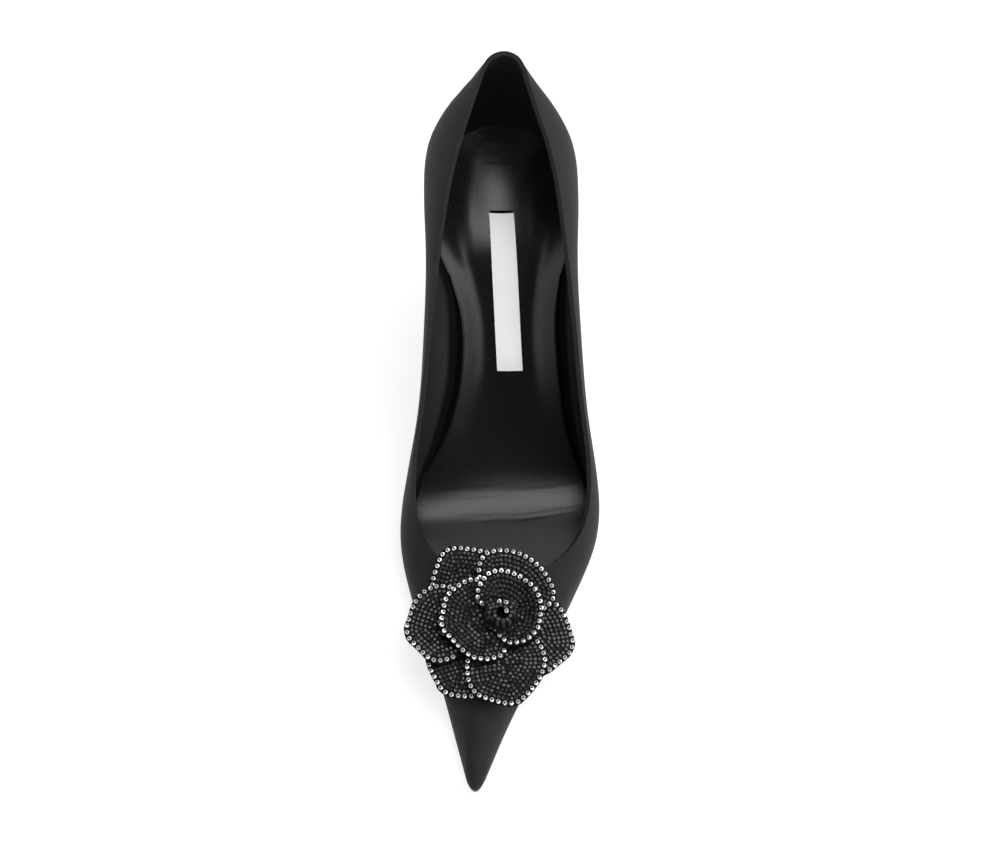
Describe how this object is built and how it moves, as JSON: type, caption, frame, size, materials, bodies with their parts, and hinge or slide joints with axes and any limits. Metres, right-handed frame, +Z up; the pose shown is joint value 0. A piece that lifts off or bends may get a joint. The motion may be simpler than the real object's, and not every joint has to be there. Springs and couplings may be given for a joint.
{
  "type": "stiletto pump",
  "caption": "Left stiletto pump in black with a pointed toe, a low-cut throat, a slim covered heel and a layered stone-set flower on the vamp.",
  "frame": {"origin": "middle of the footprint's box, on the floor", "axes": "+Z up, -Y towards the toe, +X towards the outer side of the foot"},
  "size_m": [0.0774, 0.242, 0.1469],
  "materials": {
    "satin": "matte black satin with a soft sheen",
    "sock_leather": "black leather with a fine grain and a soft gloss",
    "sole_leather": "smooth black sole",
    "heel_cover": "covered in the upper's satin",
    "top_piece_rubber": "matte black",
    "label_cloth": "plain white",
    "petal_stones": "black stones with a clear stone border",
    "bud_stones": "black stones"
  },
  "bodies": {
    "root": {"upper": "satin", "insole": "sock_leather", "outsole": "sole_leather", "heel": "heel_cover", "top_piece": "top_piece_rubber", "sock_label": "label_cloth", "flower_bud": "bud_stones", "petal_low_1": "petal_stones", "petal_low_2": "petal_stones", "petal_low_3": "petal_stones", "petal_high_1": "petal_stones", "petal_high_2": "petal_stones", "petal_high_3": "petal_stones", "petal_wrap_outer": "petal_stones", "petal_wrap_inner": "petal_stones"}
  },
  "joints": []
}
